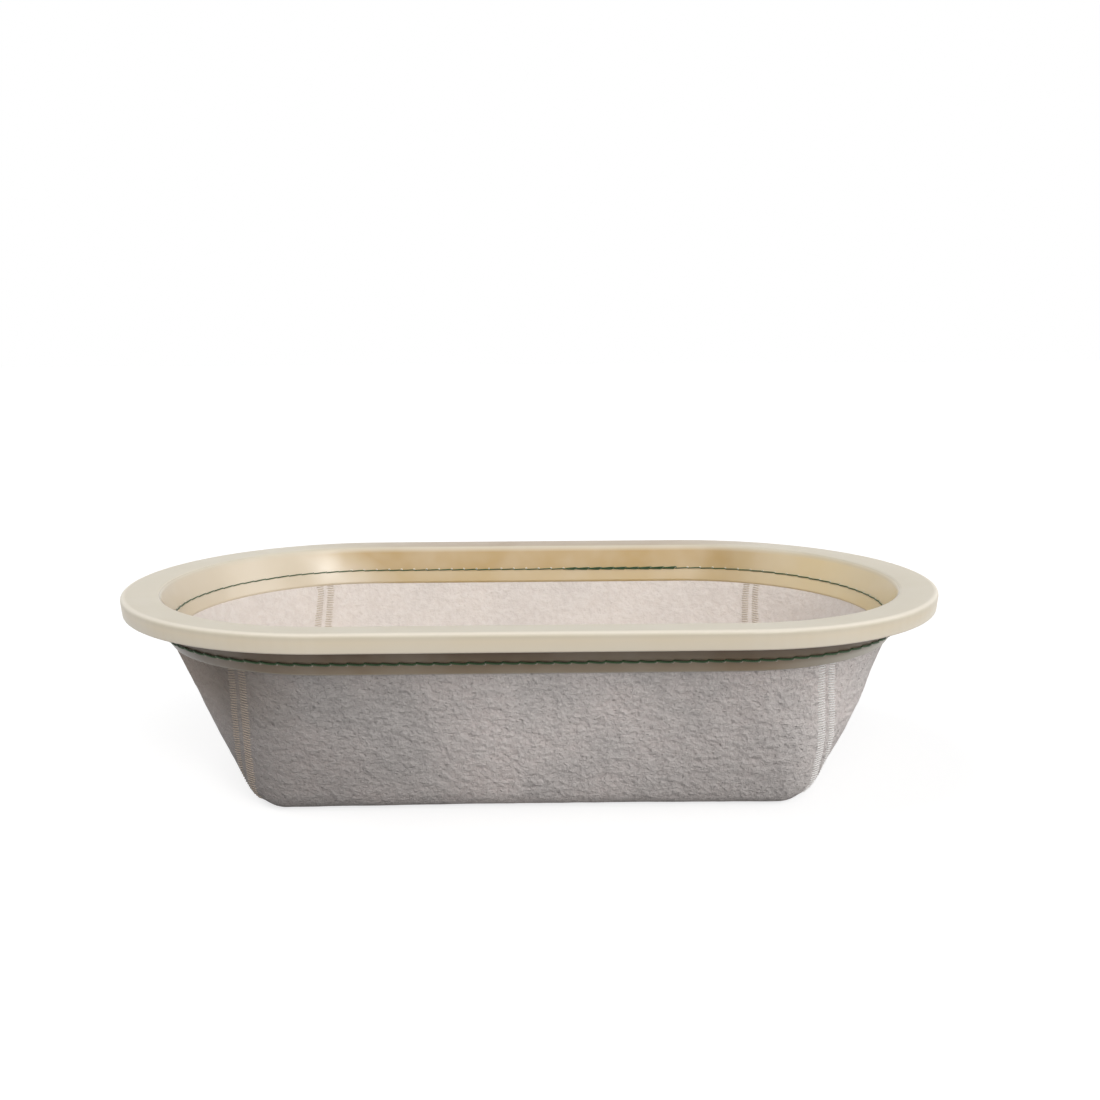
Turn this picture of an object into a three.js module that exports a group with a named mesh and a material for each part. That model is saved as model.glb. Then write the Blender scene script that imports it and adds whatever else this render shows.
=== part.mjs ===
import * as THREE from 'three';

// Driving sizes in millimetres, the lean in degrees.
const RIM_LENGTH = 320;
const RIM_WIDTH = 178;
const HEIGHT = 79;
const FLANGE = 14.4;
const SKIRT = 7;
const RIM_WALL = 2;
const EDGE_ROUND = 1.2;
const COLLAR_LEAN = 22;
const COLLAR_DEPTH = 16;
const BAND_WALL = 1.8;
const BAND_DEPTH = 19;
const FELT_WALL = 3.4;
const FLOOR_LENGTH = 212;
const FLOOR_WIDTH = 103;
const FLOOR_CORNER = 9;
const FOLD_ROUND = 9;
const STITCH_DEPTH = 10.4;
const STITCH_PITCH = 6.7;
const RIM_THREAD = 1;
const SEAM_THREAD = 0.7;
const ZIGZAG_REACH = 3.6;
const ZIGZAG_STEP = 1.8;

// Clearances between pieces that lie on one another, across a corner slit, and below the band.
const SEAT_GAP = 0.35;
const SLIT_GAP = 0.4;
const BAND_CLEAR = 1.5;

// How much of an end flap's turn is spent above the straight end of the floor.
const END_SPREAD = 1 / 3;

// How finely round ends, floor corners and folds are cut into flats.
const END_FLATS = 24;
const RUN_FLATS = 3;
const CORNER_FLATS = 6;
const FOLD_FLATS = 3;

// Layers of the sewn wall, measured outwards from the inner face of the collar.
const feltInner = RIM_WALL + SEAT_GAP;
const feltOuter = feltInner + FELT_WALL;
const bandInner = feltOuter + SEAT_GAP;
const bandOuter = bandInner + BAND_WALL;

// The rim outline is a straight run with a half circle at each end.
const lean = THREE.MathUtils.degToRad(COLLAR_LEAN);
const endRadius = RIM_WIDTH / 2;
const straightHalf = RIM_LENGTH / 2 - endRadius;
const layerTop = RIM_WALL + SEAT_GAP;
const feltBend = BAND_DEPTH + SEAT_GAP;

// How far inside the rim edge a layer of the sewn wall lies at a depth below the rim top.
function layerInset(depth, out) {
  return FLANGE + depth * Math.tan(lean) - out / Math.cos(lean);
}

const mix = (a, b, share) => a.clone().lerp(b, share);
const quad = (list, a, b, c, d) => list.push(a, b, c, a, c, d);

// Skins rings of equal count, each running anticlockwise as seen along the way they follow.
function skin(rings, loop) {
  const list = [];
  const count = rings[0].length;
  const spans = loop ? rings.length : rings.length - 1;
  for (let i = 0; i < spans; i += 1) {
    const here = rings[i];
    const next = rings[(i + 1) % rings.length];
    for (let j = 0; j < count; j += 1) {
      const k = (j + 1) % count;
      quad(list, here[j], next[j], next[k], here[k]);
    }
  }
  if (!loop) {
    const first = rings[0];
    const last = rings[spans];
    for (let j = 2; j < count; j += 1) {
      list.push(first[0], first[j - 1], first[j], last[0], last[j], last[j - 1]);
    }
  }
  return list;
}

// Sweeps a section of inset and height pairs once round the rim outline.
function sweepRim(section) {
  const rings = [];
  for (const side of [1, -1]) {
    for (let i = 0; i <= END_FLATS; i += 1) {
      const turn = (i / END_FLATS - 0.5) * Math.PI;
      rings.push(section.map((p) => {
        const reach = endRadius - p.x;
        const x = side * (straightHalf + reach * Math.cos(turn));
        return new THREE.Vector3(x, side * reach * Math.sin(turn), p.y);
      }));
    }
  }
  return skin(rings, true);
}

// Points of a round edge, from facing one way to facing another, angles measured from outwards.
function roundEdge(centre, radius, from, to) {
  const points = [];
  for (let i = 0; i <= FOLD_FLATS; i += 1) {
    const angle = from + (to - from) * (i / FOLD_FLATS);
    const way = new THREE.Vector2(-Math.cos(angle), Math.sin(angle));
    points.push(way.multiplyScalar(radius).add(centre));
  }
  return points;
}

// Rim frame: a skirt, a flat flange and a collar that leans in, moulded as one section.
function rimSection() {
  const under = HEIGHT - RIM_WALL;
  const foot = HEIGHT - SKIRT;
  const outerCentre = new THREE.Vector2(EDGE_ROUND, HEIGHT - EDGE_ROUND);
  const outerEdge = roundEdge(outerCentre, EDGE_ROUND, 0, Math.PI / 2);
  const turn = Math.PI / 2 - lean;
  const innerCentre = new THREE.Vector2(FLANGE - EDGE_ROUND * Math.tan(turn / 2), HEIGHT - EDGE_ROUND);
  const innerEdge = roundEdge(innerCentre, EDGE_ROUND, Math.PI / 2, Math.PI / 2 + turn);
  const tipInner = new THREE.Vector2(layerInset(COLLAR_DEPTH, 0), HEIGHT - COLLAR_DEPTH);
  const across = new THREE.Vector2(-Math.cos(lean), -Math.sin(lean)).multiplyScalar(RIM_WALL);
  const tipOuter = tipInner.clone().add(across);
  const tip = tipInner.clone().add(tipOuter).divideScalar(2);
  tip.add(new THREE.Vector2(Math.sin(lean), -Math.cos(lean)).multiplyScalar(RIM_WALL / 3));
  return [
    new THREE.Vector2(0, foot),
    ...outerEdge,
    ...innerEdge,
    tipInner,
    tip,
    tipOuter,
    new THREE.Vector2(layerInset(RIM_WALL, RIM_WALL), under),
    new THREE.Vector2(RIM_WALL, under),
    new THREE.Vector2(RIM_WALL, foot),
  ];
}

// Outer band: a plain cone of plastic that clamps the felt against the collar.
function bandSection() {
  const foot = HEIGHT - BAND_DEPTH;
  const chamfer = BAND_WALL / 3;
  return [
    new THREE.Vector2(layerInset(BAND_DEPTH, bandInner + chamfer), foot),
    new THREE.Vector2(layerInset(BAND_DEPTH - chamfer, bandOuter), foot + chamfer),
    new THREE.Vector2(layerInset(layerTop, bandOuter), HEIGHT - layerTop),
    new THREE.Vector2(layerInset(layerTop, bandInner), HEIGHT - layerTop),
    new THREE.Vector2(layerInset(BAND_DEPTH, bandInner), foot),
  ];
}

// The corner seams stand over the middle of the floor's round corners.
const seamX = FLOOR_LENGTH / 2 - FLOOR_CORNER * (1 - Math.SQRT1_2);
const bendRadius = endRadius - layerInset(feltBend, feltOuter);
const seamTurn = Math.asin(THREE.MathUtils.clamp((seamX - straightHalf) / bendRadius, 0.05, 0.95));

// One flap of the felt: its outline at the rim, its outline at the floor, and the way it faces.
function flap(facing, rim, floor) {
  const slit = SLIT_GAP / 2;
  const top = { ...rim, radius: bendRadius, turn: rim.turn - slit / bendRadius };
  const foot = { ...floor, radius: FLOOR_CORNER, turn: Math.PI / 4 - slit / FLOOR_CORNER, early: 0 };
  const split = foot.half / (foot.half + foot.radius * foot.turn);
  return { facing, top, foot, split };
}

const endTurn = Math.PI / 2 - seamTurn;
const endRim = { half: 0, base: straightHalf, turn: endTurn, early: endTurn * END_SPREAD };
const sideRim = { half: straightHalf, base: 0, turn: seamTurn, early: 0 };
const floorRun = FLOOR_LENGTH / 2 - FLOOR_CORNER;
const floorRise = FLOOR_WIDTH / 2 - FLOOR_CORNER;
const flaps = [0, 1, 2, 3].map((quarter) => {
  const facing = quarter * Math.PI / 2;
  return quarter % 2 === 0
    ? flap(facing, endRim, { half: floorRise, base: floorRun })
    : flap(facing, sideRim, { half: floorRun, base: floorRise });
});

// Where a share from -1 to 1 along a flap lies on an outline: how far along its run, and how far turned.
function walk(outline, share, split) {
  const way = Math.sign(share);
  const first = Math.min(1, Math.abs(share) / split);
  const rest = Math.max(0, Math.abs(share) - split) / (1 - split);
  const turn = outline.early * first + (outline.turn - outline.early) * rest;
  return { run: way * outline.half * first, turn: way * turn, base: outline.base };
}

const faceWay = (facing, turn) => new THREE.Vector3(Math.cos(facing + turn), Math.sin(facing + turn), 0);

function outlinePoint(facing, spot, radius, z) {
  const along = faceWay(facing, Math.PI / 2).multiplyScalar(spot.run);
  const out = faceWay(facing, 0).multiplyScalar(spot.base);
  return along.add(out).addScaledVector(faceWay(facing, spot.turn), radius).setZ(z);
}

// One face of the felt from rim to floor at a share along a flap: rim edge, bend, fold, floor edge.
function feltFace(panel, share, out) {
  const spot = walk(panel.top, share, panel.split);
  const foot = walk(panel.foot, share, panel.split);
  const onLayer = (depth) => {
    const reach = endRadius - layerInset(depth, out);
    return outlinePoint(panel.facing, spot, reach, HEIGHT - depth);
  };
  const inner = feltOuter - out;
  const bend = onLayer(feltBend);
  const inwards = faceWay(panel.facing, foot.turn).negate();
  const corner = outlinePoint(panel.facing, foot, FLOOR_CORNER, 0);
  const tilt = Math.atan2(Math.hypot(bend.x - corner.x, bend.y - corner.y), bend.z);
  corner.addScaledVector(inwards, inner * (1 / Math.cos(tilt) - Math.tan(tilt))).setZ(inner);
  const tangent = (FOLD_ROUND - inner) * Math.tan((Math.PI / 2 - tilt) / 2);
  const foldTop = corner.clone().addScaledVector(bend.clone().sub(corner).normalize(), tangent);
  const floorEdge = corner.clone().addScaledVector(inwards, tangent);
  const fold = [];
  for (let i = 1; i < FOLD_FLATS; i += 1) {
    const t = i / FOLD_FLATS;
    fold.push(mix(mix(foldTop, corner, t), mix(corner, floorEdge, t), t));
  }
  return [onLayer(layerTop), bend, foldTop, ...fold, floorEdge];
}

// Shares at which a flap is cut into flats, closer together where it turns a corner.
function flapShares(panel) {
  const half = [];
  for (let i = 1; i <= RUN_FLATS; i += 1) {
    half.push(panel.split * i / RUN_FLATS);
  }
  for (let i = 1; i <= CORNER_FLATS; i += 1) {
    half.push(panel.split + (1 - panel.split) * i / CORNER_FLATS);
  }
  return [...half.map((share) => -share).reverse(), 0, ...half];
}

// Felt body: four flaps and a floor cut from one blank, slit at the corners and folded up.
function feltBody() {
  const list = [];
  const panels = flaps.map((panel) => flapShares(panel).map((share) => ({
    outer: feltFace(panel, share, feltOuter),
    inner: feltFace(panel, share, feltInner),
  })));
  const rows = panels[0][0].outer.length;
  const floorRow = rows - 1;
  for (const columns of panels) {
    const first = columns[0];
    const last = columns[columns.length - 1];
    for (let j = 0; j < floorRow; j += 1) {
      for (let i = 0; i < columns.length - 1; i += 1) {
        const a = columns[i];
        const b = columns[i + 1];
        quad(list, a.outer[j], a.outer[j + 1], b.outer[j + 1], b.outer[j]);
        quad(list, b.inner[j], b.inner[j + 1], a.inner[j + 1], a.inner[j]);
      }
      quad(list, last.outer[j], last.outer[j + 1], last.inner[j + 1], last.inner[j]);
      quad(list, first.inner[j], first.inner[j + 1], first.outer[j + 1], first.outer[j]);
    }
    for (let i = 0; i < columns.length - 1; i += 1) {
      const a = columns[i];
      const b = columns[i + 1];
      quad(list, a.outer[0], b.outer[0], b.inner[0], a.inner[0]);
    }
  }
  panels.forEach((columns, k) => {
    const a = columns[columns.length - 1];
    const b = panels[(k + 1) % panels.length][0];
    quad(list, a.inner[floorRow], a.outer[floorRow], b.outer[floorRow], b.inner[floorRow]);
  });
  const under = new THREE.Vector3(0, 0, 0);
  const over = new THREE.Vector3(0, 0, FELT_WALL);
  const around = panels.flat();
  around.forEach((a, i) => {
    const b = around[(i + 1) % around.length];
    list.push(under, b.outer[floorRow], a.outer[floorRow]);
    list.push(over, a.inner[floorRow], b.inner[floorRow]);
  });
  return list;
}

// Rim stitching: one thread on each face of the sewn wall, low at the needle holes and proud between them.
function rimThread(face, way) {
  const radius = RIM_THREAD / 2;
  const stitchInset = layerInset(STITCH_DEPTH, 0);
  const stitchRadius = endRadius - stitchInset;
  const endRun = Math.PI * stitchRadius;
  const half = 2 * straightHalf + endRun;
  const stitches = Math.round(2 * half / STITCH_PITCH);
  const rings = [];
  const addRing = (distance, lift, slip) => {
    const side = distance < half ? 1 : -1;
    const far = distance % half;
    const turn = Math.min(far, endRun) / stitchRadius - Math.PI / 2;
    const run = straightHalf - Math.max(0, far - endRun);
    const out = face + way * (SEAT_GAP + radius + lift);
    const section = [[radius, 0], [0, radius], [-radius, 0], [0, -radius]];
    rings.push(section.map(([outwards, upwards]) => {
      const from = out + outwards;
      const up = upwards + slip;
      const reach = stitchRadius + from * Math.cos(lean) + up * Math.sin(lean);
      const z = HEIGHT - STITCH_DEPTH - from * Math.sin(lean) + up * Math.cos(lean);
      return new THREE.Vector3(side * (run + reach * Math.cos(turn)), side * reach * Math.sin(turn), z);
    }));
  };
  const stitch = 2 * half / stitches;
  for (let i = 0; i < stitches; i += 1) {
    addRing(i * stitch, 0, 0);
    addRing((i + 0.25) * stitch, radius, way * radius / 2);
    addRing((i + 0.75) * stitch, radius, -way * radius / 2);
  }
  return skin(rings, true);
}

// Millimetres along an outline for each share of its flap, where it turns the corner.
const cornerRun = (panel, line) => line.radius * (line.turn - line.early) / (1 - panel.split);

// A straight stroke rises this far off the round floor corner that it bridges.
const strokeRise = (ZIGZAG_REACH + SEAM_THREAD) ** 2 / 8 / FLOOR_CORNER;

// Corner seams: a zigzag row on one face of the felt, from below the band down to the higher floor fold.
function seamThread(corner, row, out, way) {
  const before = flaps[corner];
  const after = flaps[(corner + 1) % flaps.length];
  const lap = SEAM_THREAD;
  const sides = row === 1 ? [-ZIGZAG_REACH, lap] : [-lap, ZIGZAG_REACH];
  const panelAt = (across) => (across < 0 ? before : after);
  const runAt = (panel, down) => {
    return THREE.MathUtils.lerp(cornerRun(panel, panel.top), cornerRun(panel, panel.foot), down);
  };
  const shareAt = (across, run) => Math.sign(across) * ((Math.abs(across) - SLIT_GAP / 2) / run - 1);
  const wallPoint = (panel, share, z) => {
    const face = feltFace(panel, share, out);
    return mix(face[1], face[2], (face[1].z - z) / (face[1].z - face[2].z));
  };
  const foldTops = [-ZIGZAG_REACH, -lap, lap, ZIGZAG_REACH].map((across) => {
    const panel = panelAt(across);
    return feltFace(panel, shareAt(across, runAt(panel, 1)), out)[2].z;
  });
  const bendZ = HEIGHT - feltBend;
  const highZ = bendZ - BAND_CLEAR;
  const lowZ = Math.max(...foldTops);
  const length = wallPoint(after, -1, highZ).distanceTo(wallPoint(after, -1, lowZ));
  const strokes = Math.round(length / ZIGZAG_STEP);
  const rings = [];
  for (let i = 0; i <= strokes; i += 1) {
    const across = sides[i % 2];
    const z = THREE.MathUtils.lerp(highZ, lowZ, i / strokes);
    const down = (bendZ - z) / (bendZ - lowZ);
    const panel = panelAt(across);
    const run = runAt(panel, down);
    const share = shareAt(across, run);
    const nudge = SEAM_THREAD / run;
    const spot = wallPoint(panel, share, z);
    const ahead = wallPoint(panel, share + nudge, z);
    const along = ahead.sub(wallPoint(panel, share - nudge, z)).normalize();
    const fall = wallPoint(panel, share, lowZ).sub(wallPoint(panel, share, bendZ));
    const lift = fall.cross(along).normalize().multiplyScalar(way);
    spot.addScaledVector(lift, SEAT_GAP + strokeRise * down);
    const crown = spot.clone().addScaledVector(lift, SEAM_THREAD);
    rings.push([
      crown,
      spot.clone().addScaledVector(along, way * SEAM_THREAD),
      spot.clone().addScaledVector(along, -way * SEAM_THREAD),
    ]);
  }
  return skin(rings, false);
}

const plastic = new THREE.MeshStandardMaterial({ color: 0xd9cdb2, roughness: 0.3, metalness: 0 });
const felt = new THREE.MeshStandardMaterial({ color: 0xd5cec7, roughness: 0.95, metalness: 0 });
const greenThread = new THREE.MeshStandardMaterial({ color: 0x1f5a3c, roughness: 0.6, metalness: 0 });
const whiteThread = new THREE.MeshStandardMaterial({ color: 0xe4dfd6, roughness: 0.6, metalness: 0 });

function piece(name, points, material) {
  const geometry = new THREE.BufferGeometry().setFromPoints(points);
  geometry.computeVertexNormals();
  const mesh = new THREE.Mesh(geometry, material);
  mesh.name = name;
  return mesh;
}

const basket = new THREE.Group();
basket.name = 'proofing_basket';
basket.add(piece('rim_frame', sweepRim(rimSection()), plastic));
basket.add(piece('outer_band', sweepRim(bandSection()), plastic));
basket.add(piece('felt_body', feltBody(), felt));
basket.add(piece('rim_needle_thread', rimThread(bandOuter, 1), greenThread));
basket.add(piece('rim_bobbin_thread', rimThread(0, -1), greenThread));
['back_right', 'back_left', 'front_left', 'front_right'].forEach((place, corner) => {
  for (const row of [1, 2]) {
    const needle = seamThread(corner, row, feltOuter, 1);
    const bobbin = seamThread(corner, row, feltInner, -1);
    basket.add(piece(`${place}_seam_${row}_needle_thread`, needle, whiteThread));
    basket.add(piece(`${place}_seam_${row}_bobbin_thread`, bobbin, whiteThread));
  }
});

export default basket;
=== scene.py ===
import bpy
import bmesh
import math
from mathutils import Matrix, Vector, noise
from mathutils.bvhtree import BVHTree


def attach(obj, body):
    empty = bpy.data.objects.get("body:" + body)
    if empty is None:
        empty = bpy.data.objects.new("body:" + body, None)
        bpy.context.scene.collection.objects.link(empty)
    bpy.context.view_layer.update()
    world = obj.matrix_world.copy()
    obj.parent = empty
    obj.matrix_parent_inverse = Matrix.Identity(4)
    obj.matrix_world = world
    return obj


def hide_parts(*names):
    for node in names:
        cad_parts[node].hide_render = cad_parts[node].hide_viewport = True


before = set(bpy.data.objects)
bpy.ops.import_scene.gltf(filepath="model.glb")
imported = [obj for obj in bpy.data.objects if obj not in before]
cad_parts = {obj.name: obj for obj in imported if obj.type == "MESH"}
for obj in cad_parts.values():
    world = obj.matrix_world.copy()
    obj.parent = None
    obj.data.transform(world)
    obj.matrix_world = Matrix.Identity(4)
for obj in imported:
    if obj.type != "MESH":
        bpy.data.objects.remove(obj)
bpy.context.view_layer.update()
print("frame loaded:", len(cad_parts), "solids")

mm = 0.001

# what the whole basket shares: the rim outline and the layers of the sewn wall
basket = {
    "length": 320 * mm,
    "width": 178 * mm,
    "height": 79 * mm,
    "flange": 14.4 * mm,
    "lean": math.radians(22),
    "rimWall": 2.0 * mm,
    "bandIn": 4.45 * mm,         # band faces, outwards from the collar's inner face
    "bandOut": 5.5 * mm,
    "bandDepth": 19 * mm,
    "stitchDepth": 10.4 * mm,
    "stitches": 124,
}
top = basket["height"]
lean = basket["lean"]
endRadius = basket["width"] / 2
straightHalf = basket["length"] / 2 - endRadius


def lerp(a, b, t):
    return a + (b - a) * t


def layerInset(depth, out):
    # how far inside the rim edge a layer lies at a depth below the rim top
    return basket["flange"] + depth * math.tan(lean) - out / math.cos(lean)


# small helpers for shader nodes

def shaderNode(tree, kind, settings=None, **sockets):
    node = tree.nodes.new(kind)
    for name, value in (settings or {}).items():
        setattr(node, name, value)
    for name, value in sockets.items():
        socket = node.inputs[int(name[1:])] if name[0] == "i" and name[1:].isdigit() else node.inputs[name]
        if isinstance(value, bpy.types.NodeSocket):
            tree.links.new(value, socket)
        else:
            socket.default_value = value
    return node


def startMaterial(name):
    made = bpy.data.materials.new(name)
    made.use_nodes = True
    tree = made.node_tree
    return made, tree, tree.nodes["Principled BSDF"]


def objectNoise(tree, where, scale, detail=4.0, rough=0.55, bend=0.0):
    node = shaderNode(tree, "ShaderNodeTexNoise", Vector=where, Scale=scale, Detail=detail, Distortion=bend)
    node.inputs["Roughness"].default_value = rough
    return node.outputs[0]


def spread(tree, value, low, high, toLow=0.0, toHigh=1.0):
    node = shaderNode(tree, "ShaderNodeMapRange", Value=value)
    for name, v in (("From Min", low), ("From Max", high), ("To Min", toLow), ("To Max", toHigh)):
        node.inputs[name].default_value = v
    return node.outputs[0]


def sums(tree, kind, a, b):
    return shaderNode(tree, "ShaderNodeMath", {"operation": kind}, i0=a, i1=b).outputs[0]


def tint(tree, share, first, second, way="MIX"):
    kind = {"data_type": "RGBA", "blend_type": way}
    return shaderNode(tree, "ShaderNodeMix", kind, i0=share, i6=first, i7=second).outputs[2]


def roughRelief(tree, height, strength, distance, normal=None):
    node = shaderNode(tree, "ShaderNodeBump", Height=height, Strength=strength, Distance=distance)
    if normal:
        tree.links.new(normal, node.inputs["Normal"])
    return node.outputs[0]


# waxy moulded plastic: pale on the flange, warmer down the skirt with painted glow, honey painted warm light
# on the thin collar, dark brown painted shade on the band
plasticLook = {
    "flange": (0.675, 0.615, 0.490, 1),
    "skirt": (0.800, 0.695, 0.525, 1),
    "skirtEnd": (0.670, 0.575, 0.415, 1),
    "skirtLip": (0.430, 0.270, 0.150, 1),
    "flangeBackReflection": (0.330, 0.205, 0.105, 1),
    "collarPale": (0.700, 0.605, 0.460, 1),
    "collarWarmPaintedLight": (0.425, 0.268, 0.070, 1),
    "collarFoot": (0.555, 0.412, 0.205, 1),
    "collarEnd": (0.830, 0.675, 0.385, 1),
    "band": (0.152, 0.102, 0.064, 1),
    "bandFoot": (0.335, 0.248, 0.158, 1),
    "bandPale": (0.500, 0.460, 0.380, 1),
    "holeLipGlint": (0.660, 0.620, 0.530, 1),
    "collarLipGlint": (0.760, 0.700, 0.560, 1),
    "wearAndPaintedShading": (0.830, 0.785, 0.700, 1),
    "paintedEdgeHighlight": (0.870, 0.805, 0.690, 1),
    "gloss": (0.30, 0.40),
    "collarGloss": (0.20, 0.26),
    "clouds": 30,
    "scuffs": 70,
    "waves": (26, 0.6 * mm),
    "peel": (900, 0.12 * mm),
}


def sideTone(tree, body, tone):
    # darkens or lightens a colour by one number
    grey = shaderNode(tree, "ShaderNodeCombineColor", i0=tone, i1=tone, i2=tone)
    return tint(tree, 1.0, body, grey.outputs[0], "MULTIPLY")


def edgeInset(tree, x, y):
    # distance inwards from the rim's outer edge, in plan
    past = sums(tree, "MAXIMUM", sums(tree, "SUBTRACT", sums(tree, "ABSOLUTE", x, 0.0), straightHalf), 0.0)
    square = sums(tree, "ADD", sums(tree, "MULTIPLY", past, past), sums(tree, "MULTIPLY", y, y))
    return sums(tree, "SUBTRACT", endRadius, sums(tree, "SQRT", square, 0.0))


def plasticMaterial(name, colour, gloss="gloss", shine=0.28):
    made, tree, surface = startMaterial(name)
    where = shaderNode(tree, "ShaderNodeTexCoord").outputs["Object"]
    split = shaderNode(tree, "ShaderNodeSeparateXYZ", Vector=where)
    clouds = objectNoise(tree, where, plasticLook["clouds"], 3)
    body = colour(tree, *split.outputs[:3], clouds)
    inset = edgeInset(tree, split.outputs["X"], split.outputs["Y"])
    # painted highlight: the outer rounded edge is painted pale
    paintedEdgeHighlight = sums(tree, "MULTIPLY", spread(tree, inset, 0.1 * mm, 0.5 * mm),
                  spread(tree, inset, 1.1 * mm, 2.2 * mm, 0.85, 0.0))
    body = tint(tree, paintedEdgeHighlight, body, plasticLook["paintedEdgeHighlight"])
    # pale clouds of wear at random over the plastic
    body = tint(tree, spread(tree, clouds, 0.40, 0.72, 0.0, 0.20), body, plasticLook["wearAndPaintedShading"])
    tree.links.new(body, surface.inputs["Base Color"])
    scuffs = objectNoise(tree, where, plasticLook["scuffs"], 2)
    handled = spread(tree, sums(tree, "ADD", scuffs, clouds), 0.75, 1.25, *plasticLook[gloss])
    tree.links.new(handled, surface.inputs["Roughness"])
    scale, height = plasticLook["waves"]
    waves = roughRelief(tree, objectNoise(tree, where, scale, 1), 0.03, height)
    scale, height = plasticLook["peel"]
    peel = roughRelief(tree, objectNoise(tree, where, scale, 1), 0.012, height, waves)
    tree.links.new(peel, surface.inputs["Normal"])
    surface.inputs["Specular IOR Level"].default_value = shine
    return made


def rimColour(tree, x, y, z, clouds):
    # painted reflection: the far side of the flange is tinted brown, standing for the reflection of a dark
    # brown surround
    middle = sums(tree, "MULTIPLY", spread(tree, x, -0.110, -0.045), spread(tree, x, 0.135, 0.060))
    far = sums(tree, "MULTIPLY", middle, spread(tree, y, 0.070, 0.077, 0.0, 0.65))
    body = tint(tree, far, plasticLook["flange"], plasticLook["flangeBackReflection"])
    # painted shade: the skirt darkens towards the right end
    skirt = tint(tree, spread(tree, x, 0.105, 0.150), plasticLook["skirt"], plasticLook["skirtEnd"])
    # painted glow: the skirt is lighter and warmer than the flange, standing for light passing through the
    # thin plastic
    body = tint(tree, spread(tree, z, top - 0.6 * mm, top - 3.0 * mm), body, skirt)
    # painted shade: dark brown along the skirt's downward-facing lower lip
    return tint(tree, spread(tree, z, top - 6.3 * mm, top - 7.0 * mm), body, plasticLook["skirtLip"])


def collarColour(tree, x, y, z, clouds):
    # painted warm light: honey right of a soft slanting line, lighter again below the stitches and towards
    # the right end; pale at the mouth
    line = sums(tree, "ADD", x, sums(tree, "MULTIPLY", z, 1.6))
    right = sums(tree, "MULTIPLY", spread(tree, line, 0.018, 0.046), spread(tree, x, 0.075, 0.145, 1.0, 0.15))
    body = tint(tree, right, plasticLook["collarPale"], plasticLook["collarWarmPaintedLight"])
    below = spread(tree, z, top - 10.2 * mm, top - 11.4 * mm, 0.0, 0.85)
    body = tint(tree, below, body, tint(tree, right, plasticLook["collarPale"], plasticLook["collarFoot"]))
    body = tint(tree, spread(tree, x, 0.095, 0.135, 0.0, 0.8), body, plasticLook["collarEnd"])
    return tint(tree, spread(tree, z, top - 0.4 * mm, top - 2.6 * mm), plasticLook["flange"], body)


def lipColour(tree, x, y, z, clouds):
    # painted glint: the pale lip colour stands for light caught on the raised plastic
    return tint(tree, clouds, plasticLook["holeLipGlint"], plasticLook["bandFoot"])


def collarLipColour(tree, x, y, z, clouds):
    # painted glint: pale lips on the collar, patchy at random
    patchy = spread(tree, clouds, 0.4, 0.8, 0.0, 0.4)
    return tint(tree, patchy, plasticLook["collarLipGlint"], plasticLook["collarPale"])


def bandColour(tree, x, y, z, clouds):
    # painted shade: dark brown under the skirt, paler lower down, and less pale towards the left end
    down = spread(tree, z, top - 9 * mm, top - 18 * mm)
    right = spread(tree, x, -0.130, -0.050, 0.15, 1.0)
    body = tint(tree, sums(tree, "MULTIPLY", down, right), plasticLook["band"], plasticLook["bandFoot"])
    # painted shade: darker still at both ends, under the skirt
    body = sideTone(tree, body, spread(tree, sums(tree, "ABSOLUTE", x, 0.0), 0.085, 0.130, 1.0, 0.60))
    # painted light: pale below the stitches at the right end, and a painted highlight along the thin lower
    # edge
    pale = sums(tree, "MULTIPLY", spread(tree, x, 0.080, 0.112),
                spread(tree, z, top - 14.6 * mm, top - 16.8 * mm, 0.0, 0.9))
    edge = spread(tree, z, top - 18.3 * mm, top - 18.8 * mm, 0.0, 0.45)
    return tint(tree, sums(tree, "MAXIMUM", pale, edge), body, plasticLook["bandPale"])


rimPlastic = plasticMaterial("rim_plastic_waxy", rimColour)
collarPlastic = plasticMaterial("collar_plastic_painted_warm_light", collarColour, "collarGloss", 0.5)
bandPlastic = plasticMaterial("band_plastic_painted_shade", bandColour)
lipPlastic = plasticMaterial("needle_hole_lip", lipColour)
collarLipPlastic = plasticMaterial("collar_hole_lip", collarLipColour)

# needle felt: matted fibres, pits darkened with painted shade and soft clouds of tone, combed finer and paler
# inside
feltLook = {
    "outer": {
        "wool": (0.815, 0.730, 0.705, 1),
        "grey": (0.665, 0.620, 0.606, 1),
        "strand": (0.900, 0.850, 0.825, 1),
        "pitPaintedShade": (0.270, 0.232, 0.220, 1),
        "relief": 1.0,
        "strands": 0.60,
        "pits": 0.35,
        # painted shading: left darkens towards the left seams, leftEnd lightens the far left end, right
        # lightens the right end
        "left": 0.47,
        "leftEnd": 0.50,
        "right": (0.91, 1.15),
        "paintedLeftShade": 0.5,
    },
    "inner": {
        "wool": (0.775, 0.705, 0.655, 1),
        "grey": (0.720, 0.660, 0.620, 1),
        "strand": (0.860, 0.810, 0.770, 1),
        "pitPaintedShade": (0.540, 0.485, 0.445, 1),
        "relief": 0.40,
        "strands": 0.40,
        "pits": 0.20,
        "left": 1.0,
        "leftEnd": 0.0,
        "right": (1.0, 1.0),
        "paintedLeftShade": 0.0,
    },
}
feltGrain = {
    "clouds": 30,
    "mottle": 330,
    "strands": 2300,
    "pits": 820,
    "laid": ((0.3, 0.5, 0.2), (-0.5, -0.9, 0.4), (0.2, 1.3, -0.5)),   # three ways the fibres lie
    "stretch": (0.22, 1.0, 1.0),
    "lumps": 2.3 * mm,
    "hairs": 0.5 * mm,
    "paintedLeftShade": (0.50, 0.37, 0.26, 1),
}


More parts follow.
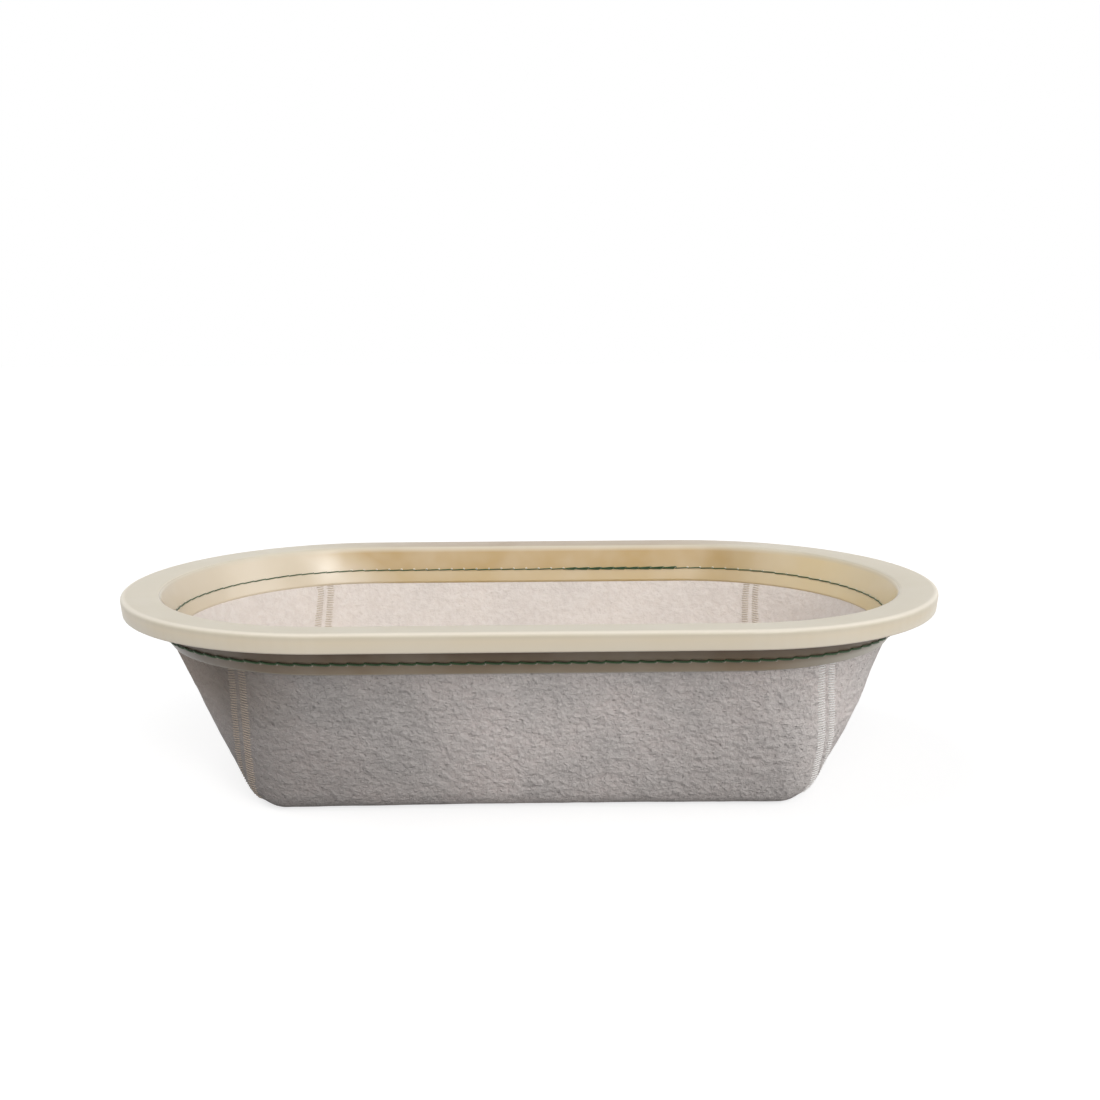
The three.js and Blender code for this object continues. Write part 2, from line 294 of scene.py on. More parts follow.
def feltMaterial(name, look):
    made, tree, surface = startMaterial(name)
    where = shaderNode(tree, "ShaderNodeTexCoord").outputs["Object"]
    clouds = objectNoise(tree, where, feltGrain["clouds"], 4)
    mottle = objectNoise(tree, where, feltGrain["mottle"], 4, 0.58)
    fibres = None
    for turn in feltGrain["laid"]:
        laid = shaderNode(tree, "ShaderNodeMapping", Vector=where, Rotation=turn, Scale=feltGrain["stretch"])
        strands = objectNoise(tree, laid.outputs[0], feltGrain["strands"], 3, 0.6, 0.25)
        fibres = sums(tree, "MAXIMUM", fibres, strands) if fibres else strands
    pits = objectNoise(tree, where, feltGrain["pits"], 3, 0.5)
    body = tint(tree, spread(tree, clouds, 0.38, 0.62), look["wool"], look["grey"])
    body = tint(tree, spread(tree, mottle, 0.42, 0.62, 0.0, 0.45), body, look["strand"])
    body = tint(tree, spread(tree, fibres, 0.54, 0.68, 0.0, look["strands"]), body, look["strand"])
    # painted shade: the pits take a darker colour
    body = tint(tree, spread(tree, pits, 0.40, 0.27, 0.0, look["pits"]), body, look["pitPaintedShade"])
    # painted shade: browner and darker beside the left seams, greyer towards the foot; painted light: paler
    # on the right end
    split = shaderNode(tree, "ShaderNodeSeparateXYZ", Vector=where)
    x, z = split.outputs["X"], split.outputs["Z"]
    paintedLeftShade = sums(tree, "MULTIPLY", spread(tree, x, -0.080, -0.112, 0.0, look["paintedLeftShade"]),
                 spread(tree, z, 0.030, 0.052))
    body = tint(tree, paintedLeftShade, body, feltGrain["paintedLeftShade"])
    wearAndPaintedShading = spread(tree, x, -0.112, -0.010, look["left"], 1.0)
    wearAndPaintedShading = sums(tree, "ADD", wearAndPaintedShading, spread(tree, x, -0.110, -0.130, 0.0, look["leftEnd"]))
    wearAndPaintedShading = sums(tree, "MULTIPLY", wearAndPaintedShading, spread(tree, z, 0.006, 0.034, lerp(1, look["left"], 0.3), 1.0))
    wearAndPaintedShading = sums(tree, "MULTIPLY", wearAndPaintedShading, spread(tree, x, 0.020, 0.060, 1.0, look["right"][0]))
    wearAndPaintedShading = sums(tree, "MULTIPLY", wearAndPaintedShading, spread(tree, x, 0.092, 0.125, 1.0, look["right"][1]))
    body = sideTone(tree, body, wearAndPaintedShading)
    tree.links.new(body, surface.inputs["Base Color"])
    tree.links.new(spread(tree, fibres, 0.3, 0.7, 0.86, 1.0), surface.inputs["Roughness"])
    lumps = roughRelief(tree, mottle, look["relief"], feltGrain["lumps"])
    nap = sums(tree, "ADD", fibres, spread(tree, pits, 0.28, 0.42))
    hairs = roughRelief(tree, nap, 0.6 * look["relief"], feltGrain["hairs"], lumps)
    tree.links.new(hairs, surface.inputs["Normal"])
    surface.inputs["Sheen Weight"].default_value = 0.15
    surface.inputs["Sheen Roughness"].default_value = 0.6
    surface.inputs["Sheen Tint"].default_value = (1.0, 0.97, 0.94, 1)
    surface.inputs["Specular IOR Level"].default_value = 0.10
    return made


def threadMaterial(name, dark, light, gloss, twist, bulge, left=None):
    # two plies laid round each other, read from the thread's own lengthways map
    made, tree, surface = startMaterial(name)
    lay = shaderNode(tree, "ShaderNodeUVMap", {"uv_map": "thread"}).outputs[0]
    split = shaderNode(tree, "ShaderNodeSeparateXYZ", Vector=lay)
    turns = sums(tree, "ADD", split.outputs[0], sums(tree, "MULTIPLY", split.outputs[1], twist))
    ply = sums(tree, "SINE", sums(tree, "MULTIPLY", turns, 4 * math.pi), 0.0)
    where = shaderNode(tree, "ShaderNodeTexCoord").outputs["Object"]
    fuzz = objectNoise(tree, where, 1800, 4, 0.6)
    uneven = objectNoise(tree, where, 130, 2)
    # painted shade and light on the twist: dark in the grooves between the plies, light on their ridges
    body = tint(tree, spread(tree, ply, -0.9, 0.9), dark, light)
    body = tint(tree, spread(tree, uneven, 0.3, 0.7, 0.0, 0.4), body, light)
    # painted shade: the pale thread darkens towards the left end, as the felt does
    if left:
        x = shaderNode(tree, "ShaderNodeSeparateXYZ", Vector=where).outputs["X"]
        body = tint(tree, spread(tree, x, -0.030, -0.100, 0.0, 0.92), body, left)
    tree.links.new(body, surface.inputs["Base Color"])
    tree.links.new(spread(tree, fuzz, 0.3, 0.7, gloss, gloss + 0.2), surface.inputs["Roughness"])
    relief = roughRelief(tree, sums(tree, "ADD", ply, fuzz), bulge, 0.12 * mm)
    tree.links.new(relief, surface.inputs["Normal"])
    surface.inputs["Sheen Weight"].default_value = 0.25
    surface.inputs["Sheen Roughness"].default_value = 0.4
    return made


# painted shadow: the hole's mouth is a dark disc standing for the shade inside a needle hole
def holeMaterial():
    made, tree, surface = startMaterial("needle_hole_painted_shadow")
    where = shaderNode(tree, "ShaderNodeTexCoord").outputs["Object"]
    depth = objectNoise(tree, where, 900, 3)
    body = tint(tree, depth, (0.020, 0.030, 0.020, 1), (0.060, 0.060, 0.045, 1))
    tree.links.new(body, surface.inputs["Base Color"])
    tree.links.new(spread(tree, depth, 0.3, 0.7, 0.6, 0.9), surface.inputs["Roughness"])
    tree.links.new(roughRelief(tree, depth, 0.3, 0.1 * mm), surface.inputs["Normal"])
    return made


outerFelt = feltMaterial("needle_felt_outer", feltLook["outer"])
innerFelt = feltMaterial("needle_felt_inner", feltLook["inner"])
# dark and light are the painted shade and light of the twisted plies
threadLook = {
    "green": {"dark": (0.010, 0.032, 0.008, 1), "light": (0.042, 0.108, 0.032, 1), "gloss": 0.5, "twist": 0.8,
              "bulge": 0.4},
    "pale": {"dark": (0.780, 0.765, 0.745, 1), "light": (0.900, 0.890, 0.875, 1), "gloss": 0.6, "twist": 1.2,
             "bulge": 0.08, "left": (0.440, 0.352, 0.275, 1)},
    "tan": {"dark": (0.520, 0.450, 0.365, 1), "light": (0.700, 0.625, 0.530, 1), "gloss": 0.6, "twist": 1.2,
            "bulge": 0.08},
}
greenThread, paleThread, tanThread = [threadMaterial(name + "_sewing_thread", **look)
                                      for name, look in threadLook.items()]
holePaintedShadow = holeMaterial()
print("materials ready")


def finishPiece(bm, name, materials, nodes=()):
    # writes the mesh to a named object at the origin, smooth, riding on the basket
    mesh = bpy.data.meshes.new(name)
    bm.to_mesh(mesh)
    bm.free()
    for made in materials:
        mesh.materials.append(made)
    mesh.shade_smooth()
    piece = bpy.data.objects.new(name, mesh)
    bpy.context.scene.collection.objects.link(piece)
    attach(piece, "root")
    if nodes:
        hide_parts(*nodes)
    return piece


def onlyVerts(geom):
    return [g for g in geom if isinstance(g, bmesh.types.BMVert)]


def onlyEdges(geom):
    return [g for g in geom if isinstance(g, bmesh.types.BMEdge)]


# rim frame and outer band: a section spun round both ends and pulled along both sides
rim = {
    "skirt": 7.0 * mm,
    "skirtLean": 0.35 * mm,
    "skirtRound": 0.5 * mm,
    "collarDepth": 16 * mm,
    "dish": 0.9 * mm,            # the flange falls a little towards the mouth
    "topRound": 1.6 * mm,
    "mouthRound": 1.3 * mm,
    "lipRound": 0.9 * mm,
    "innerRounds": (1.2 * mm, 1.6 * mm),
    "steps": 56,
    "rounding": 5,
}


def sweepOval(section, steps, rounding):
    bm = bmesh.new()
    ring = [bm.verts.new((straightHalf, inset - endRadius, z)) for inset, z, _ in section]
    for i, v in enumerate(ring):
        bm.edges.new((v, ring[(i + 1) % len(ring)]))
    for v, (_, _, soft) in zip(ring, section):
        if soft:
            bmesh.ops.bevel(bm, geom=[v], offset=soft, offset_type="OFFSET", segments=rounding, profile=0.5,
                            affect="VERTICES", material=-1)
    geom = bm.verts[:] + bm.edges[:]
    for side in (1, -1):
        spun = bmesh.ops.spin(bm, geom=geom, cent=(side * straightHalf, 0, 0), axis=(0, 0, 1), angle=math.pi,
                              steps=steps, use_merge=False)["geom_last"]
        for i in range(6):
            pulled = bmesh.ops.extrude_edge_only(bm, edges=onlyEdges(spun))["geom"]
            fresh = set(onlyVerts(pulled))
            bmesh.ops.translate(bm, verts=list(fresh), vec=(-side * straightHalf / 3, 0, 0))
            spun = list(fresh) + [e for e in onlyEdges(pulled) if set(e.verts) <= fresh]
        geom = spun
    bmesh.ops.remove_doubles(bm, verts=bm.verts[:], dist=0.01 * mm)
    bmesh.ops.recalc_face_normals(bm, faces=bm.faces[:])
    return bm


wall = basket["rimWall"]
foot = top - rim["skirt"]
tipInset = layerInset(rim["collarDepth"], 0)
tipZ = top - rim["collarDepth"]
across = Vector((-math.cos(lean), -math.sin(lean))) * wall
rimSection = [
    (rim["skirtLean"], foot, rim["skirtRound"]),
    (0.0, top, rim["topRound"]),
    (basket["flange"], top - rim["dish"], rim["mouthRound"]),
    (tipInset, tipZ, rim["lipRound"]),
    (tipInset + across.x, tipZ + across.y, rim["lipRound"]),
    (layerInset(wall, wall), top - wall, rim["innerRounds"][0]),
    (wall, top - wall, rim["innerRounds"][1]),
    (wall + rim["skirtLean"], foot, rim["skirtRound"]),
]
bm = sweepOval(rimSection, rim["steps"], rim["rounding"])


def rimInset(spot):
    return endRadius - Vector((max(0, abs(spot.x) - straightHalf), spot.y)).length


for v in bm.verts:
    # the flange lies flatter along the far side
    far = min(1, max(0, (v.co.y + 20 * mm) / (80 * mm)))
    hang = min(1, max(0, (v.co.z - tipZ) / (top - wall - tipZ)))
    v.co.z += rim["dish"] * far * hang * min(1, max(0, rimInset(v.co) / basket["flange"]))
for face in bm.faces:
    face.material_index = 1 if rimInset(face.calc_center_median()) > basket["flange"] - 0.5 * mm else 0
finishPiece(bm, "rim_frame_moulded", [rimPlastic, collarPlastic], ["rim_frame"])

band = {
    "topDepth": 2.6 * mm,
    "topRound": 0.4 * mm,
    "lipRound": 0.12 * mm,
    "lipTaper": 0.75 * mm,       # how much thinner the lower edge is
    "taperHeight": 3.4 * mm,
    "taperRound": 2.0 * mm,
}
bandTop, bandFoot = band["topDepth"], basket["bandDepth"]
bandSection = [
    (layerInset(bandFoot, basket["bandOut"] - band["lipTaper"]), top - bandFoot, band["lipRound"]),
    (layerInset(bandFoot - band["taperHeight"], basket["bandOut"]), top - bandFoot + band["taperHeight"],
     band["taperRound"]),
    (layerInset(bandTop, basket["bandOut"]), top - bandTop, band["topRound"]),
    (layerInset(bandTop, basket["bandIn"]), top - bandTop, band["topRound"]),
    (layerInset(bandFoot, basket["bandIn"]), top - bandFoot, band["lipRound"]),
]
finishPiece(sweepOval(bandSection, rim["steps"], rim["rounding"]), "outer_band_moulded", [bandPlastic],
            ["outer_band"])
print("rim and band done")

# felt body: the blank's four flaps folded up from the floor, lofted as one soft shell
felt = {
    "wall": 3.7 * mm,
    "out": 4.3 * mm,             # outer face, outwards from the collar's inner face
    "bendDepth": 19.35 * mm,
    "topDepth": 2.6 * mm,
    "floorLength": 212 * mm,
    "floorWidth": 103 * mm,
    "flat": (388 * mm, 265 * mm),   # the blank, folded out
    "corner": 11 * mm,
    "fold": 13 * mm,
    "endSpread": 1 / 3,          # turn of an end flap spent above the straight end of the floor
    "sway": 0.8 * mm,            # the walls lean a little to the right at mid height
    "bow": 1.4 * mm,             # and both end walls stand a little proud there
    "lumps": 0.30 * mm,
    "lumpScales": ((62, 1.0), (150, 0.6), (420, 0.35)),
    "seamPull": 0.16 * mm,
    "seamReach": 3.4 * mm,
    "columns": {"end": 44, "side": 96, "corner": 18},
    "rows": {"layer": 5, "wall": 38, "fold": 9, "floor": 20},
}
bendRadius = endRadius - layerInset(felt["bendDepth"], felt["out"])
floorRun = felt["floorLength"] / 2 - felt["corner"]
floorRise = felt["floorWidth"] / 2 - felt["corner"]
cornerX = felt["floorLength"] / 2 - felt["corner"] * (1 - math.sqrt(0.5))
seamTurn = math.asin((cornerX - straightHalf) / bendRadius)
endTurn = math.pi / 2 - seamTurn


def flapOutline(flap):
    # rim run, base, turn and early turn, then floor run and base
    if flap % 2 == 0:
        return 0.0, straightHalf, endTurn, endTurn * felt["endSpread"], floorRise, floorRun
    return straightHalf, 0.0, seamTurn, 0.0, floorRun, floorRise


def flapSplit(flap):
    half = flapOutline(flap)[4]
    return half / (half + felt["corner"] * math.pi / 4)


def ovalSpot(facing, run, base, turn, radius, z):
    side, out, way = facing + math.pi / 2, facing, facing + turn
    return Vector((run * math.cos(side) + base * math.cos(out) + radius * math.cos(way),
                   run * math.sin(side) + base * math.sin(out) + radius * math.sin(way), z))


class FeltColumn:
    # one line of the felt from the rim down to the middle of the floor
    def __init__(self, flap, share):
        self.flap, self.share, self.facing = flap, share, flap * math.pi / 2
        run, base, turn, early, floorHalf, floorBase = flapOutline(flap)
        split = flapSplit(flap)
        way = math.copysign(1, share)
        first = min(1, abs(share) / split)
        rest = max(0, abs(share) - split) / (1 - split)
        self.rim = (way * run * first, base, way * lerp(early * first, turn, rest))
        self.floor = (way * floorHalf * first, floorBase, way * rest * math.pi / 4)
        self.topRun = bendRadius * (turn - early) / (1 - split)
        self.footRun = felt["corner"] * math.pi / 4 / (1 - split)
        self.bend = self.layer(felt["bendDepth"])
        self.inwards = -ovalSpot(self.facing, 0, 0, self.floor[2], 1, 0)
        corner = ovalSpot(self.facing, *self.floor, felt["corner"], 0)
        tilt = math.atan2((self.bend.xy - corner.xy).length, self.bend.z)
        reach = felt["fold"] * math.tan((math.pi / 2 - tilt) / 2)
        self.corner = corner
        self.foldTop = corner + (self.bend - corner).normalized() * reach
        self.floorEdge = corner + self.inwards * reach

    def layer(self, depth):
        return ovalSpot(self.facing, *self.rim, endRadius - layerInset(depth, felt["out"]), top - depth)

    def spot(self, kind, t):
        if kind == "layer":
            return self.layer(lerp(felt["topDepth"], felt["bendDepth"], t))
        if kind == "wall":
            point = self.bend.lerp(self.foldTop, t)
        elif kind == "fold":
            point = self.foldTop.lerp(self.corner, t).lerp(self.corner.lerp(self.floorEdge, t), t)
        else:
            reach = floorRun - floorRise
            middle = Vector((max(-reach, min(reach, self.floorEdge.x)), 0, 0))
            return self.floorEdge.lerp(middle, t)
        down = 1 - point.z / self.bend.z
        ends = max(-1, min(1, point.x / (100 * mm)))
        point.x += (felt["sway"] + felt["bow"] * ends) * math.sin(math.pi * min(1, max(0, down))) ** 2
        return point

    def fromSeam(self, kind, t):
        # distance from the nearest corner seam
        down = {"layer": 0.0, "wall": t, "fold": 1.0, "floor": 1.0}[kind]
        return (1 - abs(self.share)) * lerp(self.topRun, self.footRun, down)


def flapShares(flap):
    # columns crowd towards the corner seams
    split = flapSplit(flap)
    many, few = felt["columns"]["end" if flap % 2 == 0 else "side"], felt["columns"]["corner"]
    near = [1 - (1 - split) * (i / few) ** 2 for i in range(few)]
    run = [lerp(-split, split, i / many) for i in range(many)]
    return [-share for share in near] + run + [split] + near[:0:-1]


def feltShell():
    columns = [FeltColumn(flap, share) for flap in range(4) for share in flapShares(flap)]
    rows = [("layer", i / felt["rows"]["layer"]) for i in range(felt["rows"]["layer"] + 1)]
    for kind in ("wall", "fold", "floor"):
        rows += [(kind, (i + 1) / felt["rows"][kind]) for i in range(felt["rows"][kind])]
    bm = bmesh.new()
    column = bm.verts.layers.int.new("column")
    ring = bmesh.ops.create_circle(bm, segments=len(columns), radius=endRadius)["verts"]
    for i, v in enumerate(ring):
        v[column] = i
        v.co = columns[i].spot(*rows[0])
    pulls = {v: 0.0 for v in ring}
    edges = bm.edges[:]
    for row in rows[1:]:
        geom = bmesh.ops.extrude_edge_only(bm, edges=edges)["geom"]
        fresh = set(onlyVerts(geom))
        for v in fresh:
            line = columns[v[column]]
            v.co = line.spot(*row)
            near = line.fromSeam(*row) / felt["seamReach"]
            fade = {"layer": 0.0, "wall": min(1, row[1] * 5), "fold": 1 - row[1], "floor": 0.0}[row[0]]
            dent = math.exp(-near ** 4) + 0.5 * math.exp(-(near * 7) ** 2)
            lump = sum(share * noise.noise(v.co * scale) for scale, share in felt["lumpScales"])
            pulls[v] = fade * (felt["lumps"] * lump - felt["seamPull"] * dent)
        edges = [e for e in onlyEdges(geom) if set(e.verts) <= fresh]
    bm.normal_update()
    first = bm.verts[:][0]
    turned = 1 if first.normal.dot(Vector((first.co.x, first.co.y, 0))) > 0 else -1
    for v, pull in pulls.items():
        v.co += v.normal * pull * turned
    if turned < 0:
        bmesh.ops.reverse_faces(bm, faces=bm.faces[:])
    bmesh.ops.remove_doubles(bm, verts=bm.verts[:], dist=0.01 * mm)
    return bm


feltBody = finishPiece(feltShell(), "felt_body_soft", [outerFelt, innerFelt], ["felt_body"])
thick = feltBody.modifiers.new("felt thickness", "SOLIDIFY")
thick.thickness = felt["wall"]
thick.offset = -1
thick.use_even_offset = True
thick.use_rim = True
thick.material_offset = 1


# threads: a small ring drawn along a path, with a map of turns and millimetres for the lay of the plies
def startThread():
    bm = bmesh.new()
    bm.verts.layers.int.new("around")
    bm.verts.layers.float.new("along")
    return bm


def drawThread(bm, path, lifts, radius, sides, closed):
    around, along = bm.verts.layers.int["around"], bm.verts.layers.float["along"]
    count = len(path)
    ring = bmesh.ops.create_circle(bm, segments=sides, radius=radius)["verts"]
    for i, v in enumerate(ring):
        v[around] = i
    edges = list({e for v in ring for e in v.link_edges})
    first, gone = list(ring), 0.0
    for i in range(count + 1 if closed else count):
        here, lift = path[i % count], lifts[i % count]
        ahead = path[(i + 1) % count] if closed or i < count - 1 else here
        behind = path[i - 1] if closed or i > 0 else here
        heading = (ahead - behind).normalized()
        side = heading.cross(lift).normalized()
        rise = side.cross(heading)
        if i:
            geom = bmesh.ops.extrude_edge_only(bm, edges=edges)["geom"]
            ring = onlyVerts(geom)
            fresh = set(ring)
            edges = [e for e in onlyEdges(geom) if set(e.verts) <= fresh]
            gone += (here - path[i - 1]).length
        for v in ring:
            angle = 2 * math.pi * v[around] / sides
            v.co = here + (rise * math.cos(angle) + side * math.sin(angle)) * radius
            v[along] = gone / mm
    if closed:
        bmesh.ops.remove_doubles(bm, verts=first + list(ring), dist=0.001 * mm)
    else:
        bmesh.ops.edgeloop_fill(bm, edges=edges)
        startEdges = {e for v in first for e in v.link_edges}
        bmesh.ops.edgeloop_fill(bm, edges=[e for e in startEdges if e.is_boundary])


def mapThread(bm, sides):
    around, along = bm.verts.layers.int["around"], bm.verts.layers.float["along"]
    bmesh.ops.recalc_face_normals(bm, faces=bm.faces[:])
    lay = bm.loops.layers.uv.new("thread")
    for face in bm.faces:
        spots = [loop.vert[around] for loop in face.loops]
        wraps = max(spots) - min(spots) > sides / 2
        for loop, spot in zip(face.loops, spots):
            turn = spot + sides if wraps and spot < sides / 2 else spot
            loop[lay].uv = (turn / sides, loop.vert[along])
    return bm


# rim lockstitch: floats on both faces that dive into the needle holes
rimStitch = {
    "needleRadius": 0.42 * mm,
    "bobbinRadius": 0.26 * mm,
    "needleSlant": 0.26 * mm,
    "bobbinSlant": 0.12 * mm,
    "dip": 0.12 * mm,
    "needleDrop": 1.9 * mm,         # the outer side of the row lies a little lower
    "sides": 6,
    "tack": (19 * mm, 68 * mm),     # where the end of the row is sewn over its start
    "laps": ((7.7, 0.75), (9.2, -0.6)),   # seed and lean of the two runs sewn over it
    "lipRadius": 0.48 * mm,
    "lipRings": ((0.74, 0.17), (0.52, 0.20), (0.40, 0.06)),   # share of the radius, height in millimetres
    "lipSides": 10,
    "outerLipDrop": 0.62 * mm,
    "innerLipRise": 0.40 * mm,
    # one stitch from hole to hole: share of its length, height in thread radii, slip across the row
    "profile": (
        (0.0, -1, 0.0), (0.06, 0.2, 0.9), (0.16, 0.8, 0.8), (0.34, 1.05, 0.35),
        (0.5, 1.1, 0.0), (0.68, 1.05, -0.35), (0.84, 0.8, -0.75), (0.95, 0.2, -0.9),
    ),
}
stitchRadius = endRadius - layerInset(basket["stitchDepth"], 0)
endRunLength = math.pi * stitchRadius
halfRound = 2 * straightHalf + endRunLength
stitchLength = 2 * halfRound / basket["stitches"]


def sewnSpot(distance, out, rise):
    # a point on the sewn cone: how far round, how far out of the collar's inner face, how far up it
    distance %= 2 * halfRound
    side = 1 if distance < halfRound else -1
    far = distance % halfRound
    turn = min(far, endRunLength) / stitchRadius - math.pi / 2
    run = straightHalf - max(0.0, far - endRunLength)
    reach = stitchRadius + out * math.cos(lean) + rise * math.sin(lean)
    z = top - basket["stitchDepth"] - out * math.sin(lean) + rise * math.cos(lean)
    return Vector((side * (run + reach * math.cos(turn)), side * reach * math.sin(turn), z))


def sewnLift(distance):
    return (sewnSpot(distance, 1 * mm, 0) - sewnSpot(distance, 0, 0)).normalized()


def stitchPath(face, way, radius, first, last, slant, seed, drop, loose=0.0):
    path, lifts = [], []
    for i in range(first, last):
        wobble = noise.noise(Vector((i * 0.73, seed, 0.4)))
        for share, height, slip in rimStitch["profile"]:
            at = (i + share) * stitchLength
            rise = radius * height if height > 0 else -rimStitch["dip"]
            out = face + way * (rise + (loose + 0.1 * wobble * radius) * (height > 0.5))
            path.append(sewnSpot(at, out, slip * slant + 0.12 * mm * wobble - drop))
            lifts.append(sewnLift(at) * way)
    return path, lifts


def rimThread(name, node, face, way, radius, slant, drop, tack):
    bm = startThread()
    path, lifts = stitchPath(face, way, radius, 0, basket["stitches"], slant, 3.1, drop)
    drawThread(bm, path, lifts, radius, rimStitch["sides"], True)
    if tack:
        # the back run goes from plus x to minus x, after the right end
        start = int((endRunLength + straightHalf - tack[1]) / stitchLength)
        end = int((endRunLength + straightHalf - tack[0]) / stitchLength) + 1
        for seed, lap in rimStitch["laps"]:
            lapSlant = slant * 2.2 * lap
            path, lifts = stitchPath(face, way, radius, start, end, lapSlant, seed, drop, radius * 0.9)
            path = [p + Vector((0.9 * mm * lap, 0, 0.45 * mm * lap)) for p in path]
            drawThread(bm, path, lifts, radius * 0.95, rimStitch["sides"], False)
    return finishPiece(mapThread(bm, rimStitch["sides"]), name, [greenThread], [node])


rimThread("rim_needle_stitch", "rim_needle_thread", basket["bandOut"], 1, rimStitch["needleRadius"],
          rimStitch["needleSlant"], rimStitch["needleDrop"], None)
rimThread("rim_bobbin_stitch", "rim_bobbin_thread", 0.0, -1, rimStitch["bobbinRadius"],
          rimStitch["bobbinSlant"], 0.0, rimStitch["tack"])


def holeLips(name, face, way, drop):
    # plastic pushed up round each needle hole, with a dark mouth painted as the hole's shadow
    bm = bmesh.new()
    for i in range(basket["stitches"]):
        at = i * stitchLength
        size = rimStitch["lipRadius"] * (1 + 0.15 * noise.noise(Vector((i * 1.3, 5.0, way))))
        lift = sewnLift(at) * way
        centre = sewnSpot(at, face - way * 0.02 * mm, drop)
        turned = lift.to_track_quat("Z", "Y").to_matrix().to_4x4()
        ring = bmesh.ops.create_circle(bm, segments=rimStitch["lipSides"], radius=size)["verts"]
        bmesh.ops.transform(bm, matrix=Matrix.Translation(centre) @ turned, verts=ring)
        edges = list({e for v in ring for e in v.link_edges})
        for shrink, rise in rimStitch["lipRings"]:
            geom = bmesh.ops.extrude_edge_only(bm, edges=edges)["geom"]
            ring = onlyVerts(geom)
            fresh = set(ring)
            edges = [e for e in onlyEdges(geom) if set(e.verts) <= fresh]
            for v in ring:
                flat = v.co - centre
                flat -= lift * flat.dot(lift)
                v.co = centre + flat.normalized() * size * shrink + lift * rise * mm
        for f in bmesh.ops.edgeloop_fill(bm, edges=edges)["faces"]:
            f.material_index = 1
    bmesh.ops.recalc_face_normals(bm, faces=bm.faces[:])
    bm.normal_update()
    first = bm.faces[:][0]
    if first.normal.dot(sewnLift(0) * way) < 0:
        bmesh.ops.reverse_faces(bm, faces=bm.faces[:])
    return finishPiece(bm, name, [lipPlastic if way > 0 else collarLipPlastic, holePaintedShadow])


holeLips("band_needle_holes", basket["bandOut"], 1, -rimStitch["needleDrop"] - rimStitch["outerLipDrop"])
holeLips("collar_needle_holes", 0.0, -1, rimStitch["innerLipRise"])
print("rim stitching done,", basket["stitches"], "stitches")

# corner seams: two rows of fine zigzag on each face, laid on the finished felt
zigzag = {
    "radius": 0.25 * mm,
    "step": 1.1 * mm,
    "inner": 0.7 * mm,
    "outer": 4.0 * mm,
    "slant": 0.35 * mm,
    "uneven": 0.16,
    "drift": {                    # where each seam wanders from the corner, at its top and at its foot
        "back_right": (-5.5 * mm, 0.0),
        "back_left": (-5.0 * mm, 0.0),
        "front_left": (-2.0 * mm, -5.5 * mm),
        "front_right": (1.5 * mm, 5.5 * mm),
    },
    "start": 17.2 * mm,           # depth below the rim top, under the band
    "rise": 0.10 * mm,
    "dip": 0.45 * mm,
    # one bar: share of its length, height as a share of the rise or of the dip
    "bar": ((-0.04, "dip", -1), (0.14, "rise", 1), (0.5, "rise", 1.3), (0.86, "rise", 1), (1.04, "dip", -1)),
    "sides": 5,
    "diverge": 0.5 * mm,
}
ready = bpy.context.evaluated_depsgraph_get()
feltSkin = BVHTree.FromObject(feltBody, ready)


def seamSpot(corner, sideways, kind, t):
    # a point on the outer face at a distance across a corner's seam
    flap = corner if sideways < 0 else (corner + 1) % 4
    probe = FeltColumn(flap, 1 if sideways < 0 else -1)
    run = lerp(probe.topRun, probe.footRun, {"layer": 0.0, "wall": t}.get(kind, 1.0))
    share = 1 - abs(sideways) / run
    return FeltColumn(flap, share if sideways < 0 else -share).spot(kind, t)


def seamRows():
    # even steps down the seam: under the band, along the wall, round the upper part of the fold
    line = FeltColumn(1, -1)
    marks = []
    layerSpan = felt["bendDepth"] - felt["topDepth"]
    for i in range(400):
        marks.append(("layer", lerp((zigzag["start"] - felt["topDepth"]) / layerSpan, 1, i / 400)))
    marks += [("wall", i / 2000) for i in range(2000)] + [("fold", i / 400) for i in range(170)]
    spots = [line.spot(*m) for m in marks]
    rows, gone = [marks[0]], 0.0
    for i in range(1, len(marks)):
        gone += (spots[i] - spots[i - 1]).length
        if gone >= zigzag["step"]:
            rows.append(marks[i])
            gone -= zigzag["step"]
    return rows


zigzagRows = seamRows()


def seamThread(place, corner, row, face):
    # short bars across the seam, with the thread passing inside the felt from one bar to the next
    outside = face == "needle"
    way = -1 if row == 1 else 1
    bm = startThread()
    path, lifts = [], []
    for i, (kind, t) in enumerate(zigzagRows):
        lowness = t if kind == "wall" else 1.0 if kind == "fold" else 0.0
        ends = []
        for reach, slip in ((zigzag["inner"], 0.5), (zigzag["outer"], -0.5)):
            seed = Vector((i * 0.9, corner * 3.3 + reach * 900, row * 7.1))
            loose = 1 + zigzag["uneven"] * noise.noise(seed)
            sideways = way * (reach * loose + zigzag["diverge"] * max(0, lowness - 0.6))
            sideways += lerp(*zigzag["drift"][place], lowness)
            spot = seamSpot(corner, sideways, kind, t)
            if not outside:
                inwards = (Vector((0, 0, spot.z + 20 * mm)) - spot).normalized()
                spot = spot + inwards * (felt["wall"] + 1.5 * mm)
            near, normal, _, _ = feltSkin.find_nearest(spot)
            ends.append((near + Vector((0, 0, slip * zigzag["slant"])), normal))
        if i % 2:
            ends.reverse()
        (near, normal), (after, afterNormal) = ends
        for share, level, times in zigzag["bar"]:
            up = normal.lerp(afterNormal, min(1, max(0, share))).normalized()
            spot, _, _, _ = feltSkin.find_nearest(near.lerp(after, share))
            path.append(spot + up * (zigzag[level] * times))
            lifts.append(up)
    drawThread(bm, path, lifts, zigzag["radius"], zigzag["sides"], False)
    name = f"{place}_seam_{row}_{face}"
    thread = paleThread if outside else tanThread
    return finishPiece(mapThread(bm, zigzag["sides"]), name + "_zigzag", [thread],
                       [name + "_thread"])


